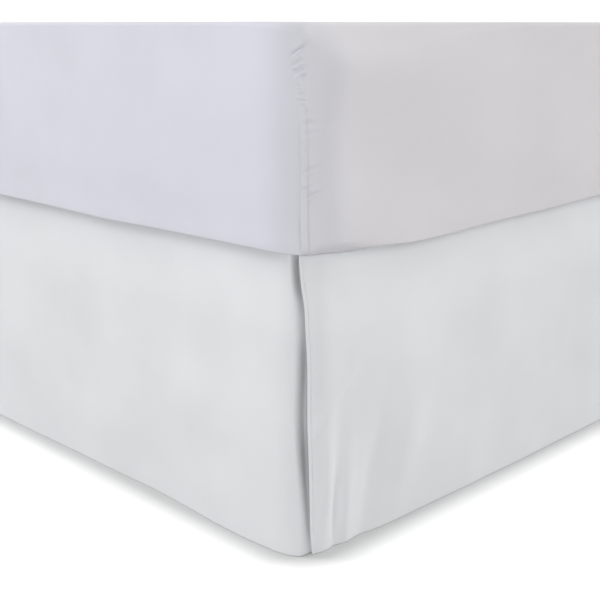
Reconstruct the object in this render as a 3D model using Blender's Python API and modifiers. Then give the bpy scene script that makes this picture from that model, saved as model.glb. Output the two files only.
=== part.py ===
"""A tailored bed skirt with split corners, on the plain queen bed that it hangs from.

Metres, +Z up. The origin is on the floor under the middle of the bed, whose foot is at -Y and
whose head is at +Y. The skirt is a deck, which lies between the box spring and the mattress, and
three flat panels that fall from the deck's edges to the floor: one at the foot and one at each
side. The head end is open. At both foot corners the foot panel rounds the corner, turns in and
runs on behind the side panel, whose hemmed edge stands free in front of it.
"""
import math
from bisect import bisect_right
from collections import namedtuple

import bmesh
import bpy
from mathutils import Vector

# Skirt
SKIRT_WIDTH = 1.524         # between the outer faces of the side panels, 60 in
SKIRT_LENGTH = 2.032        # from the foot panel's face to the head end, 80 in
DROP = 0.3556               # from the top of the deck to the floor, 14 in
CLOTH = 0.0015              # thickness of every sheet
CORNER_R = 0.050            # rounding of the deck's foot corners, in plan
FOLD_R = 0.003              # bend where a panel leaves the deck
SEAM_STRIP = 0.020          # width of each panel's top edge, which lies on the box spring
HEM_GAP = 0.0003            # between the hem and the floor
HEAD_SETBACK = 0.006        # the panels and the deck stop this far short of the skirt's length
RETURN_END = 0.075          # how far the foot panel runs on behind a side panel
STRIP_END = 0.009           # how far past its turn the foot panel still has its seam strip
GAP = 0.0003                # between pieces that touch

# Bed
MATTRESS_OVERHANG = 0.008   # beyond the skirt on each side
MATTRESS_THICK = 0.248
MATTRESS_CORNER_R = 0.068
MATTRESS_TOP_R = 0.030
MATTRESS_BOTTOM_R = 0.009
SPRING_INSET = 0.010        # of the box spring's sides, inside the panels' faces
SPRING_CORNER_R = 0.070
SPRING_EDGE_R = 0.008
RAIL_TOP = 0.160            # the box spring lies on the rails at this height
RAIL_INSET = 0.027          # of the side rails' outer faces, inside the panels' faces
RAIL_LEG = 0.038            # leg of the angle iron
RAIL_WALL = 0.003
RAIL_LENGTH = 1.940
CROSS_WIDTH = 0.030
CROSS_HEIGHT = 0.025
LEG_R = 0.014
GLIDE_R = 0.022
GLIDE_HEIGHT = 0.012
LEG_STEPS = 12
LEG_ROWS = (("foot", -0.90), ("middle", 0.0), ("head", 0.90))

# How a foot corner hangs, by height. Distances run along the skirt's outline from the middle of
# the rounded corner, towards the head: the foot panel turns in at foot_turns, over turn_width, to
# turn_depth inside the outline, and lies at tuck_depth further on. The side panel's free edge
# stands at side_edge, lifted outwards by side_lift.
Corner = namedtuple("Corner", "height foot_turns turn_width turn_depth tuck_depth side_edge side_lift")
CORNER_HANG = (
    Corner(0.000, -0.0070, 0.018, 0.0065, 0.0120, 0.0105, 0.0000),
    Corner(0.030, -0.0048, 0.014, 0.0082, 0.0120, 0.0080, 0.0005),
    Corner(0.068, -0.0062, 0.013, 0.0116, 0.0120, 0.0070, 0.0010),
    Corner(0.117, -0.0095, 0.013, 0.0184, 0.0110, 0.0057, 0.0020),
    Corner(0.165, -0.0128, 0.014, 0.0165, 0.0070, 0.0041, 0.0016),
    Corner(0.235, -0.0116, 0.015, 0.0150, 0.0070, 0.0038, 0.0011),
    Corner(0.270, -0.0130, 0.016, 0.0102, 0.0068, 0.0020, 0.0008),
    Corner(0.303, -0.0150, 0.015, 0.0112, 0.0066, 0.0002, 0.0005),
    Corner(0.322, -0.0172, 0.011, 0.0150, 0.0065, -0.0031, 0.0005),
    Corner(0.335, -0.0184, 0.009, 0.0150, 0.0064, -0.0048, 0.0003),
    Corner(0.350, -0.0192, 0.009, 0.0120, 0.0062, -0.0065, 0.0000),
)
TUCK_RISE = (0.020, 0.055)  # past the turn, where turn_depth changes to tuck_depth
LIFT_WIDTH = 0.020          # how far the lifted edge reaches into the side panel

# How far the hem stands outside the straight line of the deck's edge. The foot panel is read from
# its middle, towards +X and towards -X, the side panels from the middle of their foot corner.
FootHem = namedtuple("FootHem", "along right left")
FOOT_HEM = (
    FootHem(0.000, 0.0010, 0.0010),
    FootHem(0.130, 0.0022, -0.0016),
    FootHem(0.270, 0.0007, 0.0018),
    FootHem(0.410, -0.0012, 0.0006),
    FootHem(0.480, -0.0017, -0.0018),
    FootHem(0.550, 0.0012, -0.0008),
    FootHem(0.610, 0.0040, 0.0024),
    FootHem(0.670, 0.0050, 0.0044),
    FootHem(0.720, 0.0022, 0.0030),
    FootHem(0.745, 0.0030, 0.0026),
    FootHem(0.760, 0.0000, 0.0000),
)
SideHem = namedtuple("SideHem", "along right left")
SIDE_HEM = (
    SideHem(0.000, -0.0034, -0.0030),
    SideHem(0.020, -0.0034, -0.0038),
    SideHem(0.035, -0.0055, -0.0046),
    SideHem(0.055, -0.0060, -0.0060),
    SideHem(0.074, -0.0034, -0.0056),
    SideHem(0.110, -0.0010, -0.0030),
    SideHem(0.180, 0.0012, -0.0024),
    SideHem(0.290, 0.0024, 0.0004),
    SideHem(0.420, 0.0026, -0.0010),
    SideHem(0.540, 0.0020, 0.0012),
    SideHem(0.660, 0.0004, 0.0024),
    SideHem(0.850, -0.0022, -0.0004),
    SideHem(1.100, 0.0016, -0.0020),
    SideHem(1.350, -0.0010, 0.0018),
    SideHem(1.600, 0.0020, 0.0000),
    SideHem(1.800, -0.0004, 0.0020),
    SideHem(1.990, 0.0000, 0.0010),
)

# Soft folds and hollows in the panels: where each crosses the hem, from the middle of the foot
# corner on the side panels and from the middle of the foot, towards +X, on the foot panel; how far
# it leans onwards for each metre of height, its half width, how far it stands out, its middle
# height, its half height, and for the side panels which of them have it.
Fold = namedtuple("Fold", "along lean half_width out middle half_height sides")
FOLDS = (
    Fold(0.008, 0.00, 0.008, 0.0014, 0.04, 0.05, (1, -1)),
    Fold(0.031, 0.02, 0.010, 0.0040, 0.09, 0.07, (1, -1)),
    Fold(0.047, 0.02, 0.008, -0.0026, 0.05, 0.06, (1, -1)),
    Fold(0.061, 0.06, 0.011, 0.0038, 0.05, 0.07, (1, -1)),
    Fold(0.091, 0.20, 0.016, -0.0048, 0.06, 0.08, (1, -1)),
    Fold(0.139, 0.30, 0.028, 0.0070, 0.09, 0.06, (1, -1)),
    Fold(-0.117, 0.86, 0.010, 0.0026, 0.18, 0.04, (1,)),
    Fold(0.165, 0.00, 0.075, 0.0080, 0.22, 0.070, (1,)),
    Fold(0.300, 0.10, 0.020, 0.0018, 0.03, 0.04, (1,)),
    Fold(0.420, 0.10, 0.050, 0.0020, 0.10, 0.12, (1, -1)),
    Fold(0.600, 0.00, 0.050, 0.0060, 0.20, 0.12, (1,)),
    Fold(0.780, -0.08, 0.060, -0.0014, 0.08, 0.12, (1,)),
    Fold(1.080, 0.10, 0.070, 0.0014, 0.08, 0.12, (-1,)),
    Fold(1.460, 0.06, 0.060, -0.0012, 0.08, 0.12, (1, -1)),
    Fold(1.760, -0.10, 0.050, 0.0012, 0.08, 0.12, (1, -1)),
)
FOOT_FOLDS = (
    Fold(0.395, 0.10, 0.055, 0.0060, 0.08, 0.06, None),
    Fold(0.560, 0.00, 0.050, 0.0055, 0.15, 0.05, None),
    Fold(0.620, -0.10, 0.030, 0.0030, 0.05, 0.04, None),
    Fold(0.610, 0.00, 0.035, 0.0022, 0.30, 0.03, None),
    Fold(0.160, 0.00, 0.060, 0.0045, 0.14, 0.07, None),
    Fold(-0.150, -0.10, 0.070, -0.0016, 0.18, 0.09, None),
    Fold(-0.360, 0.10, 0.060, 0.0024, 0.09, 0.08, None),
    Fold(-0.560, -0.15, 0.050, 0.0020, 0.16, 0.06, None),
)

# Where the sheets have their rows and columns. Near the corners the columns stand closer.
ROW_HEIGHTS = (0.022, 0.048, 0.082, 0.120, 0.165, 0.210, 0.255, 0.285, 0.305, 0.322, 0.336)
FOLD_STEPS = 2
TURN_COLUMNS = (-0.060, -0.042, -0.028, -0.017, -0.008, -0.002, 0.002, 0.0055, STRIP_END, 0.0125,
                0.016, 0.021, 0.031, 0.043, 0.057, RETURN_END)
EDGE_COLUMNS = (0.0, 0.006, 0.014, 0.022, 0.031, 0.040, 0.050, 0.060, 0.071, 0.083, 0.096, 0.110,
                0.125, 0.141, 0.158, 0.177, 0.200, 0.230, 0.270, 0.320)
PLAIN_PITCH = 0.070
TURN_REACH = (0.020, 0.060)  # columns nearer than the first move with the turn, past the second not
EDGE_REACH = 0.080           # columns past this stay where they are along the side

# Worked out from the sizes above
HALF_WIDTH = SKIRT_WIDTH / 2
HALF_LENGTH = SKIRT_LENGTH / 2
FOOT_FLAT = HALF_WIDTH - CORNER_R
CORNER_ARC = CORNER_R * math.pi / 2
CORNER_MIDDLE = FOOT_FLAT + CORNER_ARC / 2
SIDE_END = HALF_LENGTH * 2 - CORNER_R + CORNER_ARC / 2 - HEAD_SETBACK
DECK_INSET = FOLD_R + SEAM_STRIP + GAP
SPRING_TOP = DROP - CLOTH - GAP

COLOURS = {
    "skirt": ((0.72, 0.74, 0.75), 0.85, 0.0),
    "sheet": ((0.72, 0.71, 0.76), 0.85, 0.0),
    "ticking": ((0.66, 0.65, 0.62), 0.80, 0.0),
    "steel": ((0.08, 0.08, 0.09), 0.45, 0.9),
    "glide": ((0.05, 0.05, 0.05), 0.60, 0.0),
}


def smooth(low, high, value):
    """0 below low, 1 above high and an S curve between."""
    part = min(max((value - low) / (high - low), 0.0), 1.0)
    return part * part * (3.0 - 2.0 * part)


def read(table, place, column):
    """A column of a table at a place in its first column, on a smooth curve through the rows."""
    keys = [row[0] for row in table]
    values = [getattr(row, column) for row in table]
    last = len(keys) - 1
    place = min(max(place, keys[0]), keys[last])
    low = min(bisect_right(keys, place) - 1, last - 1)
    high = low + 1
    span = keys[high] - keys[low]

    def slope(index):
        before, after = max(index - 1, 0), min(index + 1, last)
        return (values[after] - values[before]) / (keys[after] - keys[before]) * span

    part = (place - keys[low]) / span
    return (values[low] * (1 + 2 * part) * (1 - part) ** 2 + slope(low) * part * (1 - part) ** 2
            + values[high] * (3 - 2 * part) * part ** 2 + slope(high) * (part - 1) * part ** 2)


def outline(along, out):
    """The plan point at a distance along the skirt's outline, moved outwards.

    The distance runs from the middle of the foot, positive towards +X and on up that side.
    """
    side = math.copysign(1.0, along)
    along = abs(along)
    if along <= FOOT_FLAT:
        x, y = along, -HALF_LENGTH - out
    elif along <= FOOT_FLAT + CORNER_ARC:
        turn = (along - FOOT_FLAT) / CORNER_R
        x = FOOT_FLAT + (CORNER_R + out) * math.sin(turn)
        y = CORNER_R - HALF_LENGTH - (CORNER_R + out) * math.cos(turn)
    else:
        x, y = HALF_WIDTH + out, along - FOOT_FLAT - CORNER_ARC + CORNER_R - HALF_LENGTH
    return side * x, y


def hang(height):
    """How much of the hem's shape shows at a height: all at the floor, none at the deck."""
    return 1.0 - height / DROP


def folded(folds, along, height):
    """How far a panel's folds stand out."""
    total = 0.0
    for fold in folds:
        across = (along - fold.along - fold.lean * height) / fold.half_width
        up = (height - fold.middle) / fold.half_height
        total += fold.out * math.exp(-across * across - up * up)
    return total


def foot_out(past_corner, side, height):
    """How far the foot panel stands outside the outline at one of its two corners and its face."""
    along = past_corner + CORNER_MIDDLE
    hem = read(FOOT_HEM, along, "right" if side > 0 else "left")
    past_turn = past_corner - read(CORNER_HANG, height, "foot_turns")
    turn_depth = read(CORNER_HANG, height, "turn_depth")
    turned_in = turn_depth * smooth(0.0, read(CORNER_HANG, height, "turn_width"), past_turn)
    brought_back = (turn_depth - read(CORNER_HANG, height, "tuck_depth")) * smooth(*TUCK_RISE, past_turn)
    return hem * hang(height) + folded(FOOT_FOLDS, side * along, height) - turned_in + brought_back


def side_out(past_corner, side, height):
    """How far a side panel stands outside the outline."""
    hem = read(SIDE_HEM, past_corner, "right" if side > 0 else "left")
    past_edge = past_corner - read(CORNER_HANG, height, "side_edge")
    lifted = read(CORNER_HANG, height, "side_lift") * math.exp(-(past_edge / LIFT_WIDTH) ** 2)
    folds = folded([fold for fold in FOLDS if side in fold.sides], past_corner, height)
    return hem * hang(height) + lifted + folds


def drop_rows():
    """The rows of a panel from its hem to its seam: height, distance in, and whether it still hangs.

    The last rows bend over the box spring's edge and end at the seam with the deck.
    """
    fold_bottom = DROP - FOLD_R
    rows = [(height, 0.0, 1.0) for height in (HEM_GAP, *ROW_HEIGHTS, fold_bottom)]
    for step in range(1, FOLD_STEPS + 1):
        turn = math.pi / 2 * step / FOLD_STEPS
        rows.append((fold_bottom + FOLD_R * math.sin(turn), FOLD_R * (1 - math.cos(turn)), math.cos(turn)))
    rows.append((DROP, FOLD_R + SEAM_STRIP, 0.0))
    return rows


def spaced(start, stop, pitch):
    """Even steps between two places, without the places themselves."""
    count = max(1, round(abs(stop - start) / pitch))
    return [start + (stop - start) * step / count for step in range(1, count)]


def sheet(name, columns, place, keep=lambda column, row: True):
    """A panel: a grid of columns and rows, made into cloth of even thickness.

    place gives the point of a column at a row's height, moved in by the row, and keep says whether
    the cell after a column and above a row is part of the panel.
    """
    mesh = bpy.data.meshes.new(name)
    grid = bmesh.new()
    rows = drop_rows()
    points = [[grid.verts.new(place(column, *row)) for row in rows] for column in columns]
    for across in range(len(columns) - 1):
        for up in range(len(rows) - 1):
            if keep(across, up):
                grid.faces.new((points[across][up], points[across + 1][up],
                                points[across + 1][up + 1], points[across][up + 1]))
    loose = [vert for vert in grid.verts if not vert.link_faces]
    bmesh.ops.delete(grid, geom=loose, context="VERTS")
    grid.to_mesh(mesh)
    grid.free()
    panel = add_object(name, mesh, "skirt")
    thicken = panel.modifiers.new("cloth", "SOLIDIFY")
    thicken.thickness = CLOTH
    thicken.offset = -1.0
    mesh.shade_smooth()
    return panel


def foot_panel():
    """The panel across the foot, with its two returns behind the side panels."""
    def column_place(column, height, inwards, hanging):
        side, past = column
        moves = 1.0 - smooth(*TURN_REACH, abs(past))
        past_corner = past + moves * read(CORNER_HANG, height, "foot_turns")
        out = foot_out(past_corner, side, height) * hanging - inwards
        return Vector((*outline(side * (past_corner + CORNER_MIDDLE), out), height))

    middle = TURN_COLUMNS[0] + CORNER_MIDDLE
    face = [(math.copysign(1.0, along), abs(along) - CORNER_MIDDLE)
            for along in spaced(-middle, middle, PLAIN_PITCH)]
    columns = [(-1.0, past) for past in reversed(TURN_COLUMNS)]
    columns += face
    columns += [(1.0, past) for past in TURN_COLUMNS]
    strip_rows = FOLD_STEPS + 1
    strip_start = len(drop_rows()) - 1 - strip_rows

    def keep(across, up):
        last = max(columns[across][1], columns[across + 1][1])
        return up < strip_start or last <= STRIP_END

    return sheet("foot_panel", columns, column_place, keep)


def side_panel(name, side):
    """One of the two long panels, from its free edge at the foot corner to the head end."""
    def column_place(past, height, inwards, hanging):
        moves = 1.0 - smooth(0.0, EDGE_REACH, past)
        past_corner = past + moves * read(CORNER_HANG, height, "side_edge")
        out = side_out(past_corner, side, height) * hanging - inwards
        return Vector((*outline(side * (past_corner + CORNER_MIDDLE), out), height))

    columns = list(EDGE_COLUMNS) + spaced(EDGE_COLUMNS[-1], SIDE_END, PLAIN_PITCH) + [SIDE_END]
    if side < 0:
        columns.reverse()
    return sheet(name, columns, column_place)


def deck():
    """The flat cloth between the mattress and the box spring, inside the panels' seam strips."""
    corner_steps = 6
    inner = [outline(FOOT_FLAT + CORNER_ARC * step / corner_steps, -DECK_INSET)
             for step in range(corner_steps + 1)]
    inner.append((HALF_WIDTH - DECK_INSET, HALF_LENGTH - HEAD_SETBACK))
    points = inner + [(-x, y) for x, y in reversed(inner)]
    return plate("deck", points, DROP - CLOTH, DROP, "skirt")


def plate(name, points, bottom, top, colour):
    """A flat outline in plan, from one height to another."""
    curve = bpy.data.curves.new(name, "CURVE")
    curve.dimensions = "2D"
    curve.fill_mode = "BOTH"
    curve.extrude = (top - bottom) / 2
    line = curve.splines.new("POLY")
    line.points.add(len(points) - 1)
    for point, (x, y) in zip(line.points, points):
        point.co = (x, y, 0.0, 1.0)
    line.use_cyclic_u = True
    piece = add_object(name, curve, colour)
    piece.location = (0.0, 0.0, (top + bottom) / 2)
    return piece


def block(name, low, high, colour, corner_r=0.0, top_r=0.0, bottom_r=0.0):
    """A box between two corners, with its upright edges and its top and bottom edges rounded."""
    mesh = bpy.data.meshes.new(name)
    solid = bmesh.new()
    bmesh.ops.create_cube(solid, size=1.0)
    low, high = Vector(low), Vector(high)
    bmesh.ops.scale(solid, vec=high - low, verts=solid.verts)
    bmesh.ops.translate(solid, vec=(high + low) / 2, verts=solid.verts)

    def bevel(edges, radius, steps):
        if radius > 0:
            bmesh.ops.bevel(solid, geom=edges, offset=radius, segments=steps, profile=0.5,
                            affect="EDGES", clamp_overlap=True)

    def level(edge, height):
        return all(abs(vert.co.z - height) < GAP for vert in edge.verts)

    upright = [edge for edge in solid.edges if not level(edge, low.z) and not level(edge, high.z)]
    bevel(upright, corner_r, 6)
    bevel([edge for edge in solid.edges if level(edge, high.z)], top_r, 3)
    bevel([edge for edge in solid.edges if level(edge, low.z)], bottom_r, 3)
    solid.to_mesh(mesh)
    solid.free()
    mesh.shade_smooth()
    mesh.set_sharp_from_angle(angle=math.radians(40))
    return add_object(name, mesh, colour)


def mattress():
    """The mattress in its fitted sheet, which overhangs the skirt a little on every side."""
    half_x = HALF_WIDTH + MATTRESS_OVERHANG
    half_y = HALF_LENGTH + MATTRESS_OVERHANG
    bottom = DROP + GAP
    return block("mattress", (-half_x, -half_y, bottom), (half_x, half_y, bottom + MATTRESS_THICK),
                 "sheet", MATTRESS_CORNER_R, MATTRESS_TOP_R, MATTRESS_BOTTOM_R)


def box_spring():
    """The plain box spring that the deck lies on."""
    half_x = HALF_WIDTH - SPRING_INSET
    half_y = HALF_LENGTH - SPRING_INSET
    return block("box_spring", (-half_x, -half_y, RAIL_TOP + GAP), (half_x, half_y, SPRING_TOP),
                 "ticking", SPRING_CORNER_R, SPRING_EDGE_R, SPRING_EDGE_R)


def side_rail(name, side):
    """An angle iron along one side, its flat leg under the box spring and its other leg down."""
    outer = HALF_WIDTH - RAIL_INSET
    profile = [(outer, RAIL_TOP), (outer - RAIL_LEG, RAIL_TOP), (outer - RAIL_LEG, RAIL_TOP - RAIL_WALL),
               (outer - RAIL_WALL, RAIL_TOP - RAIL_WALL), (outer - RAIL_WALL, RAIL_TOP - RAIL_LEG),
               (outer, RAIL_TOP - RAIL_LEG)]
    rail = plate(name, [(side * x, z) for x, z in profile], -RAIL_LENGTH / 2, RAIL_LENGTH / 2, "steel")
    rail.rotation_euler = (math.pi / 2, 0.0, 0.0)
    return rail


def cross_rail(name, y):
    """A bar between the two side rails, which carries the middle of the box spring."""
    reach = HALF_WIDTH - RAIL_INSET - RAIL_LEG - GAP
    return block(name, (-reach, y - CROSS_WIDTH / 2, RAIL_TOP - CROSS_HEIGHT),
                 (reach, y + CROSS_WIDTH / 2, RAIL_TOP), "steel")


def leg(name, x, y, top):
    """A turned leg with a wider glide that stands on the floor."""
    profile = [(0.0, top), (LEG_R, top), (LEG_R, GLIDE_HEIGHT), (GLIDE_R, GLIDE_HEIGHT * 0.7),
               (GLIDE_R, 0.0), (0.0, 0.0)]
    mesh = bpy.data.meshes.new(name)
    mesh.from_pydata([(r, 0.0, z) for r, z in profile], [(i, i + 1) for i in range(len(profile) - 1)], [])
    piece = add_object(name, mesh, "glide")
    turn = piece.modifiers.new("turn", "SCREW")
    turn.steps = LEG_STEPS
    turn.render_steps = LEG_STEPS
    turn.use_merge_vertices = True
    turn.merge_threshold = 0.0001
    piece.location = (x, y, 0.0)
    return piece


def frame():
    """The plain steel frame: two side rails, three cross rails and nine legs."""
    side_rail("rail_right", 1.0)
    side_rail("rail_left", -1.0)
    rail_leg_x = HALF_WIDTH - RAIL_INSET - (RAIL_LEG + RAIL_WALL) / 2
    for row, y in LEG_ROWS:
        cross_rail(f"cross_rail_{row}", y)
        leg(f"leg_{row}_right", rail_leg_x, y, RAIL_TOP - RAIL_WALL - GAP)
        leg(f"leg_{row}_left", -rail_leg_x, y, RAIL_TOP - RAIL_WALL - GAP)
        leg(f"leg_{row}_centre", 0.0, y, RAIL_TOP - CROSS_HEIGHT - GAP)


def material(colour):
    """One object's own material in one of the named colours."""
    base, roughness, metallic = COLOURS[colour]
    finish = bpy.data.materials.new(colour)
    finish.use_nodes = True
    shader = finish.node_tree.nodes["Principled BSDF"]
    shader.inputs["Base Color"].default_value = (*base, 1.0)
    shader.inputs["Roughness"].default_value = roughness
    shader.inputs["Metallic"].default_value = metallic
    return finish


def add_object(name, data, colour):
    """Put a mesh or curve in the model as one named object with its own material."""
    piece = bpy.data.objects.new(name, data)
    data.materials.append(material(colour))
    bpy.data.collections["bed_skirt"].objects.link(piece)
    return piece


def main():
    for old in list(bpy.data.objects):
        bpy.data.objects.remove(old, do_unlink=True)
    bpy.context.scene.collection.children.link(bpy.data.collections.new("bed_skirt"))
    foot_panel()
    side_panel("side_panel_right", 1.0)
    side_panel("side_panel_left", -1.0)
    deck()
    mattress()
    box_spring()
    frame()


main()
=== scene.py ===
"""The looks of a tailored bed skirt with split corners, on the plain queen bed that it hangs from.

Metres, +Z up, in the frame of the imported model: the origin is on the floor under the middle of the
bed, whose foot is at -Y and whose head is at +Y. The sizes and tables of the skirt are those of the
part's source, and the cloth here follows the same surfaces with finer rows and columns.
"""
import math
from collections import namedtuple

import bpy
import numpy as np
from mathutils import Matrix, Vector

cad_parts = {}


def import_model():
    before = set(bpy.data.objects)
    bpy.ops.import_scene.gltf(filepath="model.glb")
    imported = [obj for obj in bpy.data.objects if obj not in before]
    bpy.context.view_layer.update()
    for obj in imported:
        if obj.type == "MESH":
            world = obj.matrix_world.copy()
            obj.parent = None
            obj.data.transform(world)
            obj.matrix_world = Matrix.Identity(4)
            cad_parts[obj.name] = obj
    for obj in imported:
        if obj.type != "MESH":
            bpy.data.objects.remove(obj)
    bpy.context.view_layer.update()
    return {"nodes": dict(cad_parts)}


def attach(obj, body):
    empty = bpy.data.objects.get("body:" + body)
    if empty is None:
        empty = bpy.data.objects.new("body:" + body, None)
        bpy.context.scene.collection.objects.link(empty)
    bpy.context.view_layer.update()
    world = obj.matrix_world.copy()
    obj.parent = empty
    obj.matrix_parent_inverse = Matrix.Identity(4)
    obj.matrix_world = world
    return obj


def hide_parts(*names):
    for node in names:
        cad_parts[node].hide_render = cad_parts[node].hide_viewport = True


def named_rows(columns, *rows):
    """A table: rows whose values have their columns' names."""
    row_type = namedtuple("Row", columns)
    return tuple(row_type(*row) for row in rows)


# Skirt
SKIRT_WIDTH = 1.524         # between the outer faces of the side panels
SKIRT_LENGTH = 2.032        # from the foot panel's face to the head end
DROP = 0.3556               # from the top of the deck to the floor
CLOTH = 0.0015              # thickness of every sheet
CORNER_R = 0.050            # rounding of the deck's foot corners, in plan
FOLD_R = 0.003              # bend where a panel leaves the deck
SEAM_STRIP = 0.020          # width of each panel's top edge, which lies on the box spring
HEM_GAP = 0.0003            # between the hem and the floor
HEAD_SETBACK = 0.006        # the panels and the deck stop this far short of the skirt's length
RETURN_END = 0.075          # how far the foot panel runs on behind a side panel
STRIP_END = 0.012           # how far past its turn the foot panel still has its seam strip
GAP = 0.0003                # between pieces that touch

# Bed
MATTRESS_OVERHANG = 0.008   # beyond the skirt on each side
MATTRESS_THICK = 0.248
MATTRESS_CORNER_R = 0.068
SPRING_INSET = 0.010        # of the box spring's sides, inside the panels' faces
SPRING_CORNER_R = 0.070
SPRING_EDGE_R = 0.008
RAIL_TOP = 0.160            # the box spring lies on the rails at this height
RAIL_INSET = 0.027          # of the side rails' outer faces, inside the panels' faces
RAIL_LEG = 0.038            # leg of the angle iron
RAIL_WALL = 0.003
CROSS_HEIGHT = 0.025
LEG_R = 0.014
LEG_STEPS = 48
LEG_CHAMFER = 0.001
POST_FOOT = 0.0125          # where a leg's steel post stands in its glide
GLIDE_PROFILE = ((0.0190, 0.0), (0.0210, 0.0004), (0.0220, 0.0016), (0.0220, 0.0076),
                 (0.0214, 0.0090), (0.0195, 0.0104), (0.0165, 0.0117), (0.0155, 0.0121),
                 (0.0150, 0.0121))
LEG_ROWS = (("foot", -0.90), ("middle", 0.0), ("head", 0.90))

# How a foot corner hangs, by height. Distances run along the skirt's outline from the middle of
# the rounded corner, towards the head: the foot panel turns in at foot_turns, over turn_width, to
# turn_depth inside the outline, and lies at tuck_depth further on. The side panel's free edge
# stands at side_edge, lifted outwards by side_lift.
CORNER_HANG = named_rows(
    "height foot_turns turn_width turn_depth tuck_depth side_edge side_lift",
    (0.000, -0.0070, 0.018, 0.0065, 0.0120, 0.0105, 0.0000),
    (0.030, -0.0048, 0.014, 0.0082, 0.0120, 0.0080, 0.0005),
    (0.068, -0.0062, 0.013, 0.0116, 0.0120, 0.0070, 0.0010),
    (0.117, -0.0095, 0.013, 0.0184, 0.0110, 0.0057, 0.0020),
    (0.165, -0.0128, 0.014, 0.0165, 0.0070, 0.0041, 0.0016),
    (0.235, -0.0116, 0.015, 0.0150, 0.0070, 0.0038, 0.0011),
    (0.270, -0.0130, 0.016, 0.0102, 0.0068, 0.0020, 0.0008),
    (0.301, -0.0150, 0.015, 0.0112, 0.0066, 0.0002, 0.0005),
    (0.318, -0.0172, 0.011, 0.0150, 0.0065, -0.0031, 0.0005),
    (0.331, -0.0184, 0.009, 0.0150, 0.0064, -0.0048, 0.0003),
    (0.343, -0.0190, 0.009, 0.0150, 0.0063, -0.0060, 0.0001),
    (0.350, -0.0192, 0.009, 0.0120, 0.0062, -0.0065, 0.0000),
)
TUCK_RISE = (0.020, 0.055)  # past the turn, where turn_depth changes to tuck_depth
LIFT_WIDTH = 0.020          # how far the lifted edge reaches into the side panel
TURN_REACH = (0.020, 0.060)  # columns nearer than the first move with the turn, past the second not
EDGE_REACH = 0.080          # columns past this stay where they are along the side

# How far the hem stands outside the straight line of the deck's edge. The foot panel is read from
# its middle, towards +X and towards -X, the side panels from the middle of their foot corner.
FOOT_HEM = named_rows(
    "along right left",
    (0.000, 0.0010, 0.0010),
    (0.130, 0.0022, -0.0016),
    (0.270, 0.0007, 0.0018),
    (0.410, -0.0012, 0.0006),
    (0.480, -0.0017, -0.0018),
    (0.550, 0.0012, -0.0008),
    (0.610, 0.0040, 0.0024),
    (0.670, 0.0050, 0.0044),
    (0.720, 0.0022, 0.0030),
    (0.745, 0.0030, 0.0026),
    (0.760, 0.0000, 0.0000),
)
SIDE_HEM = named_rows(
    "along right left",
    (0.000, -0.0034, -0.0030),
    (0.020, -0.0034, -0.0038),
    (0.035, -0.0055, -0.0046),
    (0.055, -0.0060, -0.0060),
    (0.074, -0.0034, -0.0056),
    (0.110, -0.0010, -0.0030),
    (0.180, 0.0012, -0.0024),
    (0.290, 0.0024, 0.0004),
    (0.420, 0.0026, -0.0010),
    (0.540, 0.0020, 0.0012),
    (0.660, 0.0004, 0.0024),
    (0.850, -0.0022, -0.0004),
    (1.100, 0.0016, -0.0020),
    (1.350, -0.0010, 0.0018),
    (1.600, 0.0020, 0.0000),
    (1.800, -0.0004, 0.0020),
    (1.990, 0.0000, 0.0010),
)

# Soft folds and hollows in the panels: where each crosses the hem, from the middle of the foot
# corner on the side panels and from the middle of the foot, towards +X, on the foot panel; how far
# it leans onwards for each metre of height, its half width, how far it stands out, its middle
# height, its half height, and for the side panels which of them have it.
FOLD_COLUMNS = "along lean half_width out middle half_height sides"
FOLDS = named_rows(
    FOLD_COLUMNS,
    (0.008, 0.00, 0.008, 0.0014, 0.04, 0.05, (1, -1)),
    (0.031, 0.02, 0.010, 0.0040, 0.09, 0.07, (1, -1)),
    (0.047, 0.02, 0.008, -0.0026, 0.05, 0.06, (1, -1)),
    (0.061, 0.06, 0.011, 0.0038, 0.05, 0.07, (1, -1)),
    (0.091, 0.20, 0.016, -0.0048, 0.06, 0.08, (1, -1)),
    (0.139, 0.30, 0.028, 0.0070, 0.09, 0.06, (1, -1)),
    (-0.117, 0.86, 0.010, 0.0026, 0.18, 0.04, (1,)),
    (0.165, 0.00, 0.075, 0.0080, 0.22, 0.070, (1,)),
    (0.300, 0.10, 0.020, 0.0018, 0.03, 0.04, (1,)),
    (0.420, 0.10, 0.050, 0.0020, 0.10, 0.12, (1, -1)),
    (0.600, 0.00, 0.050, 0.0060, 0.20, 0.12, (1,)),
    (0.780, -0.08, 0.060, -0.0014, 0.08, 0.12, (1,)),
    (1.080, 0.10, 0.070, 0.0014, 0.08, 0.12, (-1,)),
    (1.460, 0.06, 0.060, -0.0012, 0.08, 0.12, (1, -1)),
    (1.760, -0.10, 0.050, 0.0012, 0.08, 0.12, (1, -1)),
)
FOOT_FOLDS = named_rows(
    FOLD_COLUMNS,
    (0.395, 0.10, 0.055, 0.0060, 0.08, 0.06, None),
    (0.560, 0.00, 0.050, 0.0055, 0.15, 0.05, None),
    (0.620, -0.10, 0.030, 0.0030, 0.05, 0.04, None),
    (0.610, 0.00, 0.035, 0.0022, 0.30, 0.03, None),
    (0.160, 0.00, 0.060, 0.0045, 0.14, 0.07, None),
    (-0.150, -0.10, 0.070, -0.0016, 0.18, 0.09, None),
    (-0.360, 0.10, 0.060, 0.0024, 0.09, 0.08, None),
    (-0.560, -0.15, 0.050, 0.0020, 0.16, 0.06, None),
)

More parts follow.
